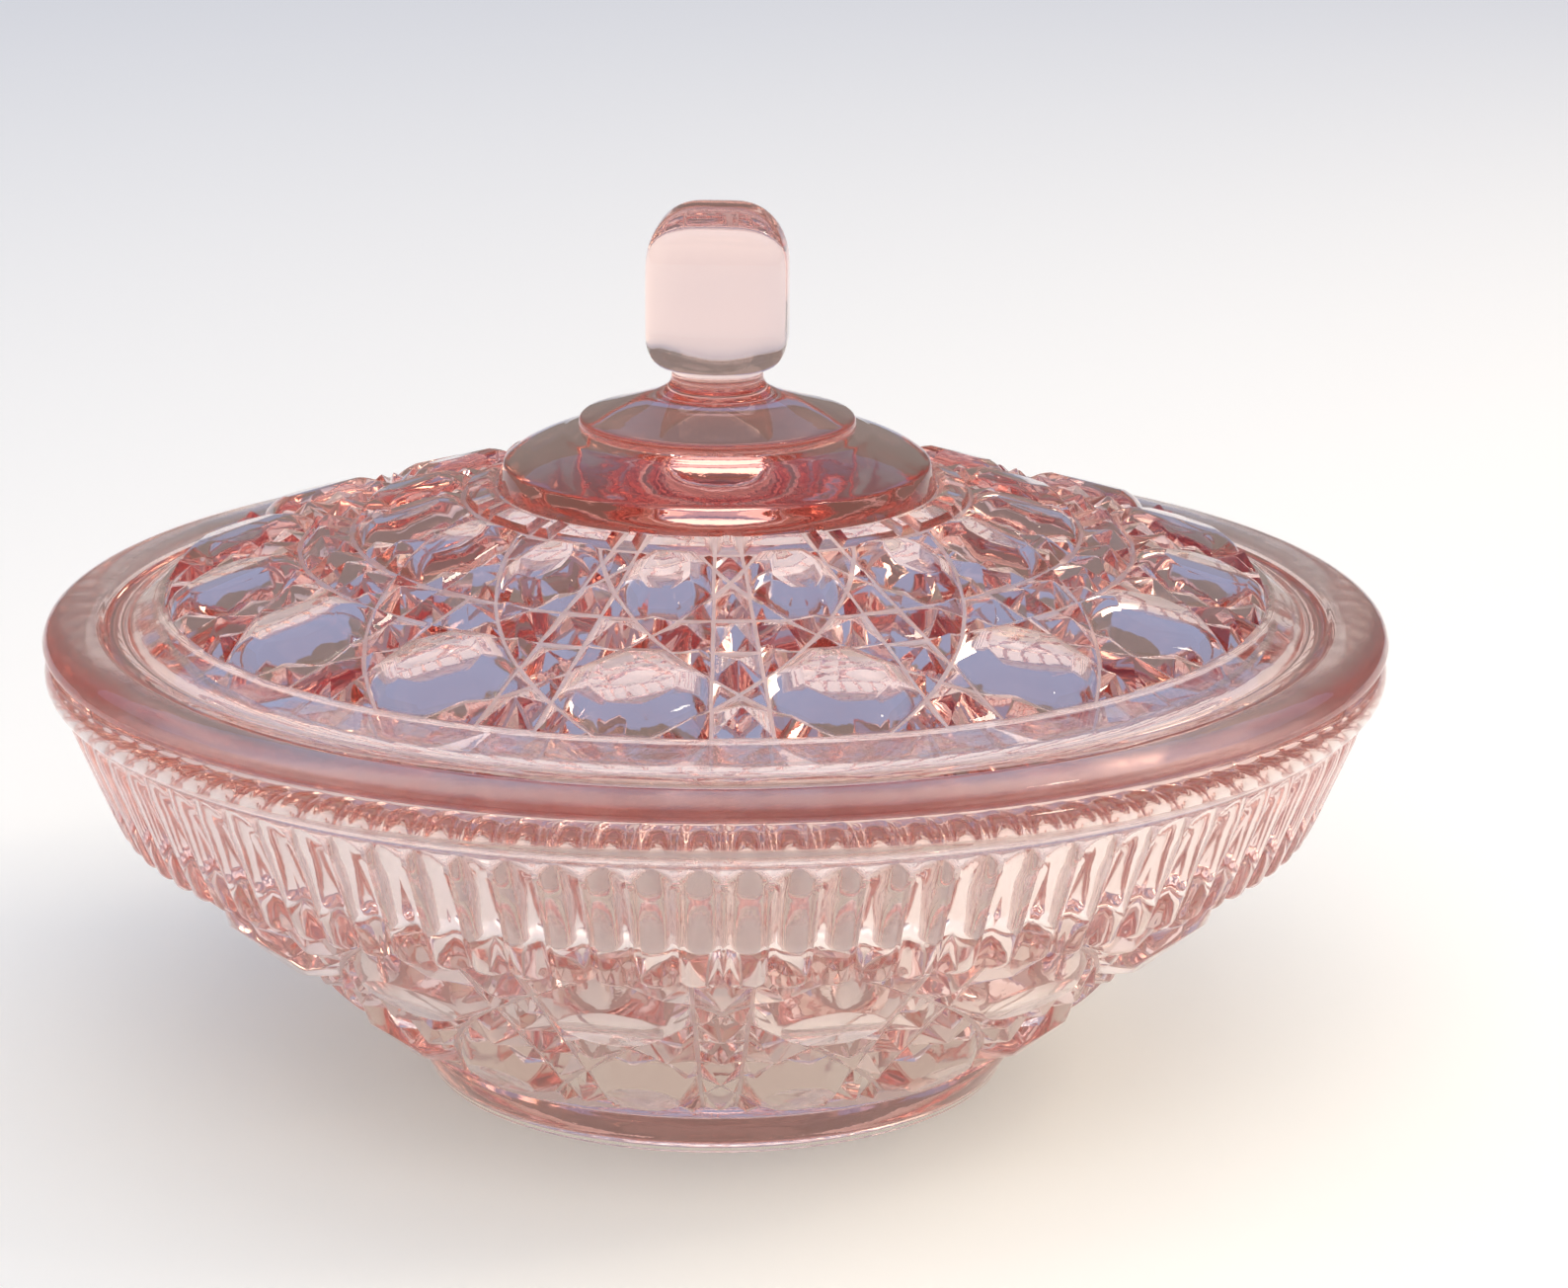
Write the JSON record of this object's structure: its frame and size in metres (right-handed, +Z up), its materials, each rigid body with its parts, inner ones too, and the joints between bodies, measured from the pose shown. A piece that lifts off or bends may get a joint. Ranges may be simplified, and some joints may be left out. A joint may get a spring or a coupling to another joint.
{
  "type": "covered candy dish",
  "caption": "Low round footed glass dish with a flared, fluted and button-patterned bowl and a lift-off domed lid with a block knob, for sweets or trinkets.",
  "frame": {"origin": "centre of the foot ring, on the surface that the dish stands on", "axes": "+Z up along the dish's axis; -Y is the side that faces the viewer, where a double line of the pattern runs down the bowl"},
  "size_m": [0.178, 0.178, 0.1168],
  "materials": {
    "bowl_glass": "pressed pink glass, fire-polished gloss",
    "lid_glass": "pressed pink glass, fire-polished gloss"
  },
  "bodies": {
    "bowl_body": {"bowl": "bowl_glass"},
    "lid_body": {"lid": "lid_glass"}
  },
  "joints": [
    {"name": "lid_lift", "type": "slide", "parent": "bowl_body", "child": "lid_body", "axis": [0, 0, 1], "range_m": [0, 0.08]}
  ]
}
